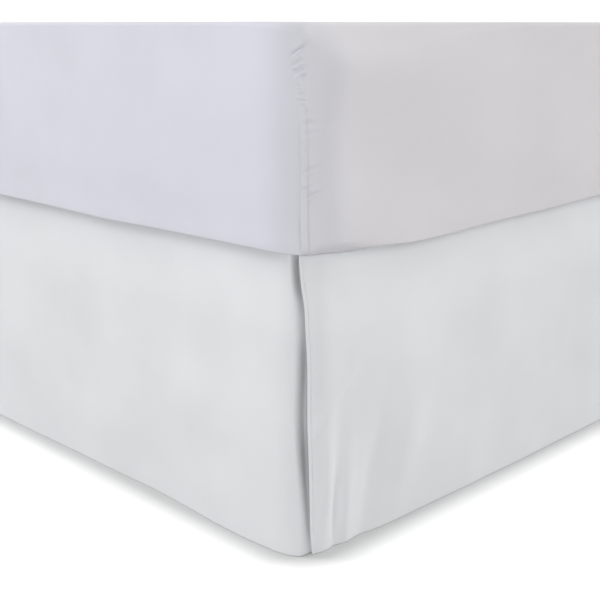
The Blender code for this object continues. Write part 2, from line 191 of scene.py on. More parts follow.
# The panels' sewn edges
HEM_BAND = 0.005            # width of the doubled edge, up to its stitching
HEM_STEP = (-0.0006, 0.0012)  # from where to where past that width it ends
HEM_RAISE = 0.0006          # how far the doubled edge stands out
HEM_THICK = 0.0024          # the cloth's thickness where it is turned under
HEM_FADE = 0.002            # how far it takes to come to that thickness
BOTTOM_HEM = 0.012          # width of the cloth turned up inside the bottom edge
HEAD_HEM = (0.012, 0.010)   # from where to where before the head end its hem begins
EDGE_ROUND = 0.0006         # rounding of the cut edges
EDGE_ROUND_STEPS = 3
EDGE_ANGLE = 50.0           # degrees, past which an edge is rounded
STITCH_DIP = 0.0010         # how far the stitches pull the cloth in
STITCH_DIP_WIDTH = 0.0009
STITCH_PITCH = 0.0029
STITCH_LENGTH = 0.0021
STITCH_START = 0.003        # height of the first stitch above the hem
STITCH_RINGS = 7            # along each stitch
STITCH_SIDES = 6
THREAD_R = 0.00026
PUCKER_OUT = 0.00022        # small waves that the stitching draws up along the edge
PUCKER_REACH = 0.0055
PUCKER_WAVES = (0.0113, 0.0187)

# Where the sheets have their columns: from each place on, this far apart
FOOT_COLUMNS = ((-0.060, 0.003), (-0.030, 0.0015), (0.016, 0.003))
SIDE_COLUMNS = ((0.0, 0.0005), (0.008, 0.0018), (0.030, 0.0025), (0.130, 0.004), (0.240, 0.010),
                (0.420, 0.020))
PLAIN_PITCH = 0.020         # along the foot, between its corners
ROW_PITCH = 0.0027
FOLD_STEPS = 6              # rows round the bend where a panel leaves the deck
DECK_PITCH = 0.04
DECK_CORNER_STEPS = 6
DECK_ROWS = 50

# The mattress's corner seam, by height: where it runs, from the middle of the corner, how deep and
# how wide its crease is, and how far the flat seam beside it stands out.
SEAM = named_rows(
    "height at crease crease_width band",
    (0.356, -0.0030, 0.0018, 0.0012, 0.0028),
    (0.392, -0.0046, 0.0018, 0.0012, 0.0028),
    (0.410, -0.0048, 0.0014, 0.0018, 0.0024),
    (0.460, -0.0050, 0.0011, 0.0018, 0.0019),
    (0.500, -0.0060, 0.0007, 0.0022, 0.0013),
    (0.530, -0.0080, 0.0004, 0.0030, 0.0007),
    (0.553, -0.0115, 0.0004, 0.0030, 0.0004),
    (0.572, -0.0130, 0.0003, 0.0030, 0.0003),
    (0.588, -0.0090, 0.0002, 0.0030, 0.0002),
    (0.604, -0.0010, 0.0000, 0.0030, 0.0000),
)
SEAM_BAND = 0.0085          # width of the flat seam beside its crease
SEAM_RISE = 0.0025          # over which the flat seam comes to stand out
SEAM_FALL = 0.0015          # over which it comes back

# Small creases that the seam draws up in the sheet: the height at which each leaves the seam, how
# far from the seam it starts and ends, how much it climbs on its way, its half width and its depth.
PUCKERS = named_rows(
    "height starts ends climb half_width depth",
    (0.571, 0.000, 0.020, 0.85, 0.0018, 0.0023),
    (0.560, 0.000, 0.018, 0.60, 0.0019, 0.0020),
    (0.552, 0.002, 0.018, 0.45, 0.0022, 0.0026),
    (0.555, 0.001, 0.005, 0.30, 0.0013, 0.0016),
    (0.547, 0.008, 0.016, 0.30, 0.0014, 0.0018),
    (0.540, 0.001, 0.007, 0.10, 0.0012, 0.0014),
    (0.530, 0.002, 0.011, 0.20, 0.0014, 0.0019),
    (0.524, 0.002, 0.011, 0.15, 0.0013, 0.0018),
    (0.518, 0.004, 0.012, 0.10, 0.0012, 0.0014),
    (0.511, 0.007, 0.017, 0.05, 0.0034, 0.0015),
    (0.501, 0.006, 0.034, 0.02, 0.0034, 0.0011),
    (0.490, 0.006, 0.028, 0.05, 0.0024, 0.0009),
    (0.470, 0.004, 0.011, 0.20, 0.0015, 0.0010),
    (0.449, 0.004, 0.030, 0.30, 0.0018, 0.0015),
    (0.430, 0.002, 0.018, 0.35, 0.0014, 0.0022),
    (0.420, 0.008, 0.026, 0.40, 0.0015, 0.0020),
)
PUCKER_LIP = 0.5            # how far the cloth beside a crease stands up, in depths
PUCKER_LIP_AT = 1.8         # how far beside it, in half widths
PUCKER_START = 0.002        # over which a crease comes to its depth
PUCKER_FADE = 0.6           # the share of its length over which it ends

# The mattress's edges and the skirt's bend under them, by distance past the middle of a corner,
# towards the side: the heights of the roundings along the sheet's top and lower edges, how far the
# lower edge draws in, how far the bend stands above the deck and holds the sheet up, how full the
# sheet hangs over it, how strongly the upper part of its side bulges, and how far the skirt leans
# in below the bend.
EDGES = named_rows(
    "past top_r lower_r draws_in raised full bulge leans",
    (-0.760, 0.005, 0.008, 0.0030, 0.0053, 0.0030, 0.0, 0.0065),
    (-0.620, 0.005, 0.008, 0.0030, 0.0061, 0.0030, 0.0, 0.0065),
    (-0.455, 0.005, 0.008, 0.0030, 0.0051, 0.0030, 0.0, 0.0065),
    (-0.355, 0.005, 0.008, 0.0030, 0.0037, 0.0030, 0.0, 0.0065),
    (-0.255, 0.005, 0.008, 0.0030, 0.0059, 0.0030, 0.0, 0.0065),
    (-0.155, 0.005, 0.008, 0.0030, 0.0069, 0.0030, 0.0, 0.0065),
    (-0.090, 0.006, 0.008, 0.0030, 0.0072, 0.0030, 0.0, 0.0065),
    (-0.050, 0.008, 0.010, 0.0035, 0.0070, 0.0033, 0.0, 0.0070),
    (-0.020, 0.012, 0.013, 0.0050, 0.0045, 0.0035, 0.0, 0.0080),
    (-0.003, 0.020, 0.015, 0.0075, 0.0020, 0.0028, 0.1, 0.0090),
    (0.011, 0.034, 0.014, 0.0105, 0.0018, 0.0008, 0.3, 0.0095),
    (0.030, 0.044, 0.014, 0.0110, 0.0026, 0.0002, 0.6, 0.0090),
    (0.060, 0.050, 0.014, 0.0105, 0.0012, 0.0002, 0.9, 0.0065),
    (0.090, 0.050, 0.013, 0.0080, 0.0004, 0.0015, 1.0, 0.0065),
    (0.125, 0.046, 0.010, 0.0045, 0.0018, 0.0028, 0.85, 0.0065),
    (0.165, 0.036, 0.008, 0.0030, 0.0004, 0.0030, 0.65, 0.0065),
    (0.235, 0.022, 0.008, 0.0030, 0.0004, 0.0030, 0.4, 0.0065),
    (0.340, 0.010, 0.008, 0.0030, 0.0033, 0.0030, 0.2, 0.0065),
    (0.460, 0.007, 0.008, 0.0030, 0.0051, 0.0030, 0.0, 0.0065),
    (0.600, 0.006, 0.008, 0.0030, 0.0090, 0.0030, 0.0, 0.0065),
    (0.780, 0.006, 0.008, 0.0030, 0.0053, 0.0030, 0.0, 0.0065),
)
LOWER_CURVE = 1.8           # how late the lower edge turns in
LOWER_REST = 0.0165         # how far in the sheet still rests on the skirt's bend
LOWER_SEAT = 0.042          # how far in it reaches the deck
RAISED_GAP = (0.0004, 0.002)  # more than GAP between the two, where raised by the second
RAISED_FROM = 0.24          # height at which a panel begins to be raised
LEANS = (0.262, 0.332)      # heights between which it comes to lean in

# How far the mattress's faces swell, by height, and the bulge high up beside a corner
SWELL = named_rows(
    "height ends sides bulge",
    (0.356, 0.0000, 0.0000, 0.0000),
    (0.385, 0.0006, 0.0004, -0.0008),
    (0.420, 0.0030, 0.0012, -0.0038),
    (0.460, 0.0034, 0.0014, -0.0056),
    (0.500, 0.0032, 0.0014, -0.0046),
    (0.545, 0.0024, 0.0014, 0.0016),
    (0.570, 0.0018, 0.0010, 0.0028),
    (0.604, 0.0010, 0.0006, 0.0000),
)
SLACK_LONG = 0.0005         # heights of the two sets of waves in the sheet
SLACK_SHORT = 0.0004

# Columns by distance past the corner, and rings up the mattress
MATTRESS_PITCH = 0.050      # along the foot, between its corners
MATTRESS_COLUMNS = ((-0.200, 0.016), (-0.075, 0.007), (-0.035, 0.0025), (-0.0175, 0.0012),
                    (0.018, 0.0025), (0.050, 0.005), (0.120, 0.014), (0.300, 0.050))
LOWER_RINGS = 12
SIDE_PARTS = ((0.0, 0.013), (0.20, 0.0075), (0.40, 0.013), (0.55, 0.0055))
UPPER_RINGS = 36
TOP_RINGS = (0.995, 0.985, 0.97, 0.95, 0.92, 0.88, 0.82, 0.74, 0.64, 0.50, 0.34, 0.16)
CAP_RINGS = (0.9, 0.5, 0.1)  # the scales of the rings that close a plain top or underside
CAP_UP = 0.1                # up the cloth from each of these rings to the next
UNDER_UP = (-0.03, -0.01)   # up the cloth, its two rings under the mattress
ROUND_UP = (0.01, 0.03)     # its lower rounding, and each radian of the upper one
SIDE_UP = MATTRESS_THICK - 0.03

# Columns and rings of the box spring
SPRING_PITCH = 0.05
SPRING_CORNER_PITCH = 0.009
SPRING_ROUND_STEPS = 6
SPRING_ROWS = 16
SPRING_BULGE = 0.0015       # of its sides, between their edges

# Worked out from the sizes above
HALF_WIDTH = SKIRT_WIDTH / 2
HALF_LENGTH = SKIRT_LENGTH / 2
FOOT_FLAT = HALF_WIDTH - CORNER_R
CORNER_ARC = CORNER_R * math.pi / 2
CORNER_MIDDLE = FOOT_FLAT + CORNER_ARC / 2
SIDE_END = SKIRT_LENGTH - CORNER_R + CORNER_ARC / 2 - HEAD_SETBACK
DECK_INSET = FOLD_R + SEAM_STRIP + GAP
SPRING_TOP = DROP - CLOTH - GAP
MATTRESS_BOTTOM = DROP + GAP
MATTRESS_TOP = MATTRESS_BOTTOM + MATTRESS_THICK
NEARLY_LEVEL = 1e-6

# Woven cloth: its two shades, its threads' pitch, its relief, its sheen, and its tint towards both
# ends of the bed, which is painted cool light
Weave = namedtuple("Weave", "light dark thread relief sheen cool")
SKIRT_WEAVE = Weave((0.736, 0.750, 0.765), (0.678, 0.692, 0.707), 0.00045, 0.00012, 0.12, None)
# The sheet's last value cools its colour towards the ends: painted cool light, not the cloth's own
# colour
SHEET_WEAVE = Weave((0.659, 0.640, 0.649), (0.619, 0.600, 0.608), 0.00035, 0.00010, 0.12,
                    (1.015, 1.055, 1.142))
TICKING_WEAVE = Weave((0.66, 0.65, 0.62), (0.60, 0.59, 0.57), 0.0006, 0.00015, 0.1, None)
CLOUD_SCALE = 7.0           # faint clouds across the cloth
CLOUD_RANGE = (0.32, 0.68)
CLOUD_SHARE = 0.7
FIBRE_SCALE = 420.0
FIBRE_SHARE = 0.3
SLUB_SCALE = (60.0, 700.0, 1.0)
CLOTH_ROUGHNESS = (0.82, 0.96)
PAINTED_COOL_REACH = 0.23           # how far from the ends the painted cool light begins
PAINTED_COOL_CURVE = 5.0            # how late it comes
PAINTED_COOL_LEAST = 0.1            # its share along the sides
THREAD_SHADES = ((0.70, 0.715, 0.73), (0.78, 0.79, 0.80))
Paint = namedtuple("Paint", "dark light roughness")
STEEL_PAINT = Paint((0.030, 0.031, 0.034), (0.055, 0.056, 0.060), 0.42)
GLIDE_PAINT = Paint((0.018, 0.018, 0.019), (0.030, 0.030, 0.031), 0.50)

# Camera, at the height of the mattress's top, in front of the foot corner at +X
CAMERA_PLACE = (1.5437, -1.7954, 0.602)
CAMERA_DOWN = 14.609        # degrees below level
CAMERA_TURN = 45.296        # degrees from +Y, towards -X
CAMERA_LENS = 63.6          # mm, on a 36 mm sensor

FLOOR_SIZE = 24.0
FLOOR_GAP = 0.0002

# Light: the white room's brightness at eye level, overhead and behind the bed, soft lights that
# graze the foot and the side and one in front of the corner, and light from above for the floor
WHITE = (1.0, 1.0, 1.0, 1.0)
ROOM_LEVEL = 0.36
ROOM_OVERHEAD = 1.0
BACKDROP = 1.05
FLOOR_COLOUR = (0.60, 0.60, 0.60, 1.0)
FLOOR_LIGHT = 2.75
FLOOR_LIGHT_FROM = (-0.022, 0.026, 1.0)
FLOOR_LIGHT_SPREAD = 4.5    # degrees
SOFT_LIGHTS = named_rows(
    "name place aims_at size power",
    ("foot_light", (-3.4, -3.5, 3.0), (0.2, -1.0, 0.3), 2.0, 121.0),
    ("side_light", (2.6, 4.6, 1.5), (0.76, -0.6, 0.3), 1.5, 156.0),
    ("front_light", (3.5, -3.9, 1.0), (0.76, -1.0, 0.25), 2.0, 49.0),
)


def smooth(low, high, value):
    """0 below low, 1 above high and an S curve between."""
    part = np.clip((value - low) / (high - low), 0.0, 1.0)
    return part * part * (3.0 - 2.0 * part)


def bump(value, middle, half_width):
    """1 at the middle, dying away on both sides."""
    return np.exp(-((value - middle) / half_width) ** 2)


def read(table, place, column):
    """A column of a table at places in its first column, on a smooth curve through the rows."""
    keys = np.array([row[0] for row in table])
    values = np.array([getattr(row, column) for row in table])
    last = len(keys) - 1
    before = np.maximum(np.arange(last + 1) - 1, 0)
    after = np.minimum(np.arange(last + 1) + 1, last)
    slopes = (values[after] - values[before]) / (keys[after] - keys[before])
    place = np.clip(place, keys[0], keys[last])
    low = np.clip(np.searchsorted(keys, place, side="right") - 1, 0, last - 1)
    span = keys[low + 1] - keys[low]
    part = (place - keys[low]) / span
    return (values[low] * (1 + 2 * part) * (1 - part) ** 2
            + slopes[low] * span * part * (1 - part) ** 2
            + values[low + 1] * (3 - 2 * part) * part ** 2
            + slopes[low + 1] * span * (part - 1) * part ** 2)


def graded(stretches, end):
    """Places from the first stretch's start to the end, each stretch at its own pitch."""
    places = []
    stops = [start for start, _ in stretches[1:]] + [end]
    for (start, pitch), stop in zip(stretches, stops):
        steps = max(1, round((stop - start) / pitch))
        places.extend(np.linspace(start, stop, steps, endpoint=False))
    return np.array(places + [end])


def rounded(along, out, half_x, half_y, corner_r):
    """Plan points at distances along a rounded rectangle's outline, moved outwards.

    The distance runs from the middle of the foot, positive towards +X and on up that side.
    """
    side = np.where(along < 0, -1.0, 1.0)
    along = np.abs(along)
    flat = half_x - corner_r
    turn = np.clip((along - flat) / corner_r, 0.0, math.pi / 2)
    x = np.minimum(along, flat) + (corner_r + out) * np.sin(turn)
    y = (corner_r - half_y - (corner_r + out) * np.cos(turn)
         + np.maximum(along - flat - corner_r * math.pi / 2, 0.0))
    return side * x, y


def outline(along, out):
    """Plan points along the skirt's outline."""
    return rounded(along, out, HALF_WIDTH, HALF_LENGTH, CORNER_R)


# Skirt

def hang(height):
    """How much of the hem's shape shows at a height: all at the floor, none at the deck."""
    return 1.0 - height / DROP


def folded(folds, along, height):
    """How far a panel's folds stand out."""
    return sum(fold.out * bump(along, fold.along + fold.lean * height, fold.half_width)
               * bump(height, fold.middle, fold.half_height) for fold in folds)


def foot_out(past_corner, side, height):
    """How far the foot panel stands outside the outline."""
    along = past_corner + CORNER_MIDDLE
    hem = np.where(side > 0, read(FOOT_HEM, along, "right"), read(FOOT_HEM, along, "left"))
    past_turn = past_corner - read(CORNER_HANG, height, "foot_turns")
    turn_depth = read(CORNER_HANG, height, "turn_depth")
    tuck_depth = read(CORNER_HANG, height, "tuck_depth")
    turned_in = turn_depth * smooth(0.0, read(CORNER_HANG, height, "turn_width"), past_turn)
    brought_back = (turn_depth - tuck_depth) * smooth(*TUCK_RISE, past_turn)
    return hem * hang(height) + folded(FOOT_FOLDS, side * along, height) - turned_in + brought_back


def side_out(past_corner, side, height):
    """How far a side panel stands outside the outline."""
    hem = read(SIDE_HEM, past_corner, "right" if side > 0 else "left")
    past_edge = past_corner - read(CORNER_HANG, height, "side_edge")
    lifted = read(CORNER_HANG, height, "side_lift") * bump(past_edge, 0.0, LIFT_WIDTH)
    folds = folded([fold for fold in FOLDS if side in fold.sides], past_corner, height)
    return hem * hang(height) + lifted + folds


def bend(past_corner, column):
    """What the table of edges gives for a panel's bend, the same from both ends of a side."""
    half_way = HALF_LENGTH - CORNER_R + CORNER_ARC / 2
    return read(EDGES, half_way - np.abs(past_corner - half_way), column)


def moving(inwards):
    """1 on a panel's face and bend, 0 at its inner edge, which stays where it is."""
    return np.where(inwards > FOLD_R + NEARLY_LEVEL, 0.0, 1.0)


def leaned(past_corner, height, inwards):
    """How far a panel leans in below the mattress's edge."""
    return bend(past_corner, "leans") * (smooth(*LEANS, height) * moving(inwards))


def raised(past_corner, height, inwards):
    """The height of each row of a panel, with its bend raised."""
    share = smooth(RAISED_FROM, DROP - FOLD_R, height) * moving(inwards)
    return height + bend(past_corner, "raised") * share


def sewn_edge(past_edge, height, side):
    """What a side panel's free edge adds: its doubled band, the seam and the seam's puckers."""
    band = HEM_RAISE * (1.0 - smooth(HEM_BAND + HEM_STEP[0], HEM_BAND + HEM_STEP[1], past_edge))
    seam = STITCH_DIP * bump(past_edge, HEM_BAND, STITCH_DIP_WIDTH)
    waves = sum(np.sin(2 * math.pi * height / wave + side * phase)
                for phase, wave in enumerate(PUCKER_WAVES, 1)) / len(PUCKER_WAVES)
    puckers = PUCKER_OUT * waves * bump(past_edge, HEM_BAND, PUCKER_REACH)
    return band - seam + puckers


def drop_rows():
    """A panel's rows, hem to seam: height, distance in, how far each hangs, way up the cloth."""
    fold_bottom = DROP - FOLD_R
    heights = np.linspace(HEM_GAP, fold_bottom, round(fold_bottom / ROW_PITCH))
    turns = np.linspace(0.0, math.pi / 2, FOLD_STEPS + 1)[1:]
    height = np.concatenate([heights, fold_bottom + FOLD_R * np.sin(turns), [DROP]])
    inwards = np.concatenate([heights * 0.0, FOLD_R * (1 - np.cos(turns)), [FOLD_R + SEAM_STRIP]])
    hanging = np.concatenate([heights * 0.0 + 1.0, np.cos(turns), [0.0]])
    up = np.concatenate([heights, fold_bottom + FOLD_R * turns,
                         [fold_bottom + FOLD_R * turns[-1] + SEAM_STRIP]])
    return height, inwards, hanging, up


def grid_object(name, points, uv, finish, keep=None):
    """An object of quads over a grid of points, with the cloth's own metres as its UVs."""
    columns, rows = points.shape[:2]
    index = np.arange(columns * rows).reshape(columns, rows)
    quads = np.stack([index[:-1, :-1], index[1:, :-1], index[1:, 1:], index[:-1, 1:]], axis=-1)
    quads = quads[keep] if keep is not None else quads.reshape(-1, 4)
    corner_uv = uv.reshape(-1, 2)[quads.ravel()]
    used, quads = np.unique(quads, return_inverse=True)
    return mesh_object(name, points.reshape(-1, 3)[used], quads.reshape(-1, 4).tolist(), finish,
                       corner_uv)


def mesh_object(name, points, faces, finish, uv=None):
    """A smooth mesh in the scene, as one piece with one material."""
    mesh = bpy.data.meshes.new(name)
    mesh.from_pydata(points.reshape(-1, 3).tolist(), [], faces)
    if uv is not None:
        mesh.uv_layers.new(name="cloth").data.foreach_set("uv", uv.ravel())
    mesh.shade_smooth()
    mesh.materials.append(finish)
    return placed(name, mesh)


def placed(name, data, place=(0.0, 0.0, 0.0), turned=(0.0, 0.0, 0.0)):
    """Put a mesh, a light or the camera in the scene."""
    thing = bpy.data.objects.new(name, data)
    thing.location = place
    thing.rotation_euler = turned
    bpy.context.scene.collection.objects.link(thing)
    return thing


def solid(sheet, thickness):
    """Give a sheet its thickness, inwards from its face."""
    cloth = sheet.modifiers.new("cloth", "SOLIDIFY")
    cloth.thickness = thickness
    cloth.offset = -1.0
    return cloth


def thicken(panel, hemmed):
    """Give a panel its cloth's thickness, more where hemmed is 1, and soften its cut edges."""
    group = panel.vertex_groups.new(name="hem")
    for vert, weight in enumerate(hemmed):
        group.add([vert], float(weight), "REPLACE")
    cloth = solid(panel, HEM_THICK)
    cloth.vertex_group = group.name
    cloth.thickness_vertex_group = CLOTH / HEM_THICK
    edges = panel.modifiers.new("edges", "BEVEL")
    edges.width = EDGE_ROUND
    edges.segments = EDGE_ROUND_STEPS
    edges.limit_method = "ANGLE"
    edges.angle_limit = math.radians(EDGE_ANGLE)


def foot_columns():
    """The foot panel's columns between its returns: the side, and how far past that corner."""
    turn = graded(FOOT_COLUMNS, RETURN_END)
    face_end = CORNER_MIDDLE + turn[0]
    face = np.linspace(-face_end, face_end, round(2 * face_end / PLAIN_PITCH) + 1)[1:-1]
    side = np.concatenate([-np.ones_like(turn), np.where(face < 0, -1.0, 1.0), np.ones_like(turn)])
    past = np.concatenate([turn[::-1], np.abs(face) - CORNER_MIDDLE, turn])
    return side[:, None], past[:, None]


def foot_panel(finish):
    """The panel across the foot, with its two returns behind the side panels."""
    height, inwards, hanging, up = drop_rows()
    side, past = foot_columns()
    moves = 1.0 - smooth(*TURN_REACH, np.abs(past))
    past_corner = past + moves * read(CORNER_HANG, height, "foot_turns")
    out = (foot_out(past_corner, side, height) * hanging - inwards
           - leaned(past_corner, height, inwards))
    along = side * (past_corner + CORNER_MIDDLE)
    x, y = outline(along, out)
    points = np.stack([x, y, raised(past_corner, height, inwards)], axis=-1)
    uv = np.stack([along, np.broadcast_to(up, along.shape)], axis=-1)
    strip_start = len(height) - 2 - FOLD_STEPS
    last = np.maximum(past[:-1], past[1:])
    keep = (np.arange(len(height) - 1) < strip_start) | (last <= STRIP_END)
    panel = grid_object("foot_panel_cloth", points, uv, finish, keep)
    heights = np.array([vert.co.z for vert in panel.data.vertices])
    thicken(panel, 1.0 - smooth(BOTTOM_HEM, BOTTOM_HEM + HEM_FADE, heights))
    return panel


def side_place(past, height, inwards, hanging, side):
    """Points of a side panel by distance past its free edge: how far past the corner, x and y."""
    moves = 1.0 - smooth(0.0, EDGE_REACH, past)
    past_corner = past + moves * read(CORNER_HANG, height, "side_edge")
    out = (side_out(past_corner, side, height) + sewn_edge(past, height, side)) * hanging - inwards
    x, y = outline(side * (past_corner + CORNER_MIDDLE), out - leaned(past_corner, height, inwards))
    return past_corner, x, y


def side_panel(name, side, finish):
    """One of the two long panels, from its free edge at the foot corner to the head end."""
    height, inwards, hanging, up = drop_rows()
    past = graded(SIDE_COLUMNS, SIDE_END)[:, None]
    if side < 0:
        past = past[::-1]
    past_corner, x, y = side_place(past, height, inwards, hanging, side)
    points = np.stack([x, y, raised(past_corner, height, inwards)], axis=-1)
    uv = np.stack([side * past_corner, np.broadcast_to(up, x.shape)], axis=-1)
    panel = grid_object(name, points, uv, finish)
    edge = np.broadcast_to(past, x.shape).ravel()
    low = points[..., 2].ravel()
    free_edge = smooth(0.0, HEM_FADE, edge) - smooth(HEM_BAND, HEM_BAND + HEM_FADE / 2, edge)
    head_end = smooth(SIDE_END - HEAD_HEM[0], SIDE_END - HEAD_HEM[1], edge)
    bottom = 1.0 - smooth(BOTTOM_HEM, BOTTOM_HEM + HEM_FADE, low)
    thicken(panel, np.maximum.reduce([free_edge, head_end, bottom]))
    return panel


def stitching(name, side, finish):
    """The stitches along a side panel's free edge, each a thread that dips in at both ends."""
    part = np.linspace(0.0, 1.0, STITCH_RINGS)
    angles = np.linspace(0.0, 2 * math.pi, STITCH_SIDES, endpoint=False)
    starts = np.arange(HEM_GAP + STITCH_START, DROP - FOLD_R - STITCH_PITCH, STITCH_PITCH)
    height = starts[:, None] + STITCH_LENGTH * part
    past_corner, x, y = side_place(np.full_like(height, HEM_BAND), height, 0.0, 1.0, side)
    turn = np.clip((past_corner + CORNER_ARC / 2) / CORNER_R, 0.0, math.pi / 2)
    outwards = np.stack([side * np.sin(turn), -np.cos(turn), turn * 0.0], axis=-1)
    across = np.stack([-outwards[..., 1], outwards[..., 0], turn * 0.0], axis=-1)
    arch = np.sin(math.pi * part)
    stands = (THREAD_R * (1.5 * arch - 0.7))[:, None]
    radius = (THREAD_R * (0.35 + 0.65 * arch ** 0.5))[:, None, None]
    middle = np.stack([x, y, raised(past_corner, height, 0.0)], axis=-1) + outwards * stands
    points = (middle[:, :, None] + radius * (across[:, :, None] * np.cos(angles)[:, None]
                                             + outwards[:, :, None] * np.sin(angles)[:, None]))
    index = np.arange(points.size // 3).reshape(points.shape[:3])
    after = np.roll(index, -1, axis=2)
    walls = np.stack([index[:, :-1], after[:, :-1], after[:, 1:], index[:, 1:]], axis=-1)
    faces = walls.reshape(-1, 4).tolist() + index[:, 0, ::-1].tolist() + index[:, -1].tolist()
    return mesh_object(name, points, faces, finish)


def deck(finish):
    """The flat cloth between the mattress and the box spring, inside the panels' seam strips."""
    half_x = HALF_WIDTH - DECK_INSET
    corner_r = CORNER_R - DECK_INSET
    top = HALF_LENGTH - HEAD_SETBACK
    bottom = DECK_INSET - HALF_LENGTH
    fine = corner_r / DECK_CORNER_STEPS
    across = graded(((-half_x, fine), (corner_r - half_x, DECK_PITCH), (half_x - corner_r, fine)),
                    half_x)[:, None]
    off = np.maximum(np.abs(across) - (half_x - corner_r), 0.0)
    start = bottom + corner_r - np.sqrt(np.maximum(corner_r ** 2 - off ** 2, 0.0))
    y = start + (top - start) * np.linspace(0.0, 1.0, DECK_ROWS)
    x = np.broadcast_to(across, y.shape)
    points = np.stack([x, y, np.full_like(y, DROP)], axis=-1)
    panel = grid_object("deck_cloth", points, np.stack([x, y], axis=-1), finish)
    solid(panel, CLOTH)
    return panel


# Bed

def capped(rings, up, top_rings):
    """Rings and their distances up the cloth, with those that close the underside and the top."""
    under = [rings[0] * (scale, scale, 1.0) for scale in reversed(CAP_RINGS)]
    top = [rings[-1] * (scale, scale, 1.0) for scale in top_rings]
    below = up[0] - CAP_UP * np.arange(len(under), 0, -1)
    above = up[-1] + CAP_UP * np.arange(1, len(top) + 1)
    return np.array(under + rings + top), np.concatenate([below, up, above])


def wrap(name, along, rings, up, finish):
    """A closed form of rings of points, with metres as its UVs: plan ones where it is level."""
    count, columns = rings.shape[:2]
    index = np.arange(count * columns).reshape(count, columns)
    after = np.roll(index, -1, axis=1)
    walls = np.stack([index[:-1], after[:-1], after[1:], index[1:]], axis=-1).reshape(-1, 4)
    faces = walls.tolist() + [index[0, ::-1].tolist(), index[-1].tolist()]
    around = np.append(along, along[-1] + (along[-1] - along[-2]))
    spread = np.stack(np.broadcast_arrays(around[None, :], up[:, None]), axis=-1)
    column = np.arange(columns)
    wall_uv = np.stack([spread[:-1, column], spread[:-1, column + 1],
                        spread[1:, column + 1], spread[1:, column]], axis=2)
    plan, beside = rings[..., :2], np.roll(rings, -1, axis=1)[..., :2]
    plan_uv = np.stack([plan[:-1], beside[:-1], beside[1:], plan[1:]], axis=2)
    level = np.abs(np.diff(rings[..., 2], axis=0)).max(axis=1) < NEARLY_LEVEL
    wall_uv = np.where(level[:, None, None, None], plan_uv, wall_uv).reshape(-1, 2)
    ends_uv = np.concatenate([rings[0, ::-1, :2], rings[-1, :, :2]])
    return mesh_object(name, rings, faces, finish, np.concatenate([wall_uv, ends_uv]))


def round_block(along, out, half_x, half_y, corner_r):
    """Plan points right round a rounded rectangle, whose head half mirrors its foot half."""
    half_way = half_x - corner_r + corner_r * math.pi / 2 + half_y - corner_r
    mirrored = np.abs(along) > half_way
    near = np.where(mirrored, np.sign(along) * (2 * half_way - np.abs(along)), along)
    x, y = rounded(near, out, half_x, half_y, corner_r)
    return x, np.where(mirrored, -y, y)


def whole_way(places, half_way):
    """Places right round a block from those between the middle of its foot and of its side."""
    quarter = np.append(places[places < half_way], half_way)
    half = np.concatenate([quarter, (2 * half_way - quarter[:-1])[::-1]])
    return np.concatenate([-half[:0:-1], half[:-1]])


def seam_out(past, height):
    """The corner seam of the fitted sheet: its crease, the flat band beside it and the puckers."""
    beside = past - read(SEAM, height, "at")
    crease = read(SEAM, height, "crease") * bump(beside, 0.0, read(SEAM, height, "crease_width"))
    band = (read(SEAM, height, "band") * smooth(0.0, SEAM_RISE, beside)
            * (1.0 - smooth(SEAM_BAND, SEAM_BAND + SEAM_FALL, beside)))
    drawn = 0.0
    for pucker in PUCKERS:
        across = height - pucker.height - pucker.climb * beside
        fade = PUCKER_FADE * (pucker.ends - pucker.starts)
        reach = (smooth(pucker.starts - PUCKER_START, pucker.starts + PUCKER_START, beside)
                 * (1.0 - smooth(pucker.ends - fade, pucker.ends, beside)))
        lip = bump(across, -PUCKER_LIP_AT * pucker.half_width, pucker.half_width)
        fold = bump(across, 0.0, pucker.half_width) - PUCKER_LIP * lip
        drawn = drawn + pucker.depth * fold * reach
    return band - crease - drawn


def soft_waves(along, height):
    """Slack in the sheet: long shallow waves, different all the way round."""
    return (SLACK_LONG * np.sin(9.0 * along + 14.0 * height) * np.sin(23.0 * height + 1.3)
            + SLACK_SHORT * np.sin(17.0 * along - 31.0 * height + 0.6))


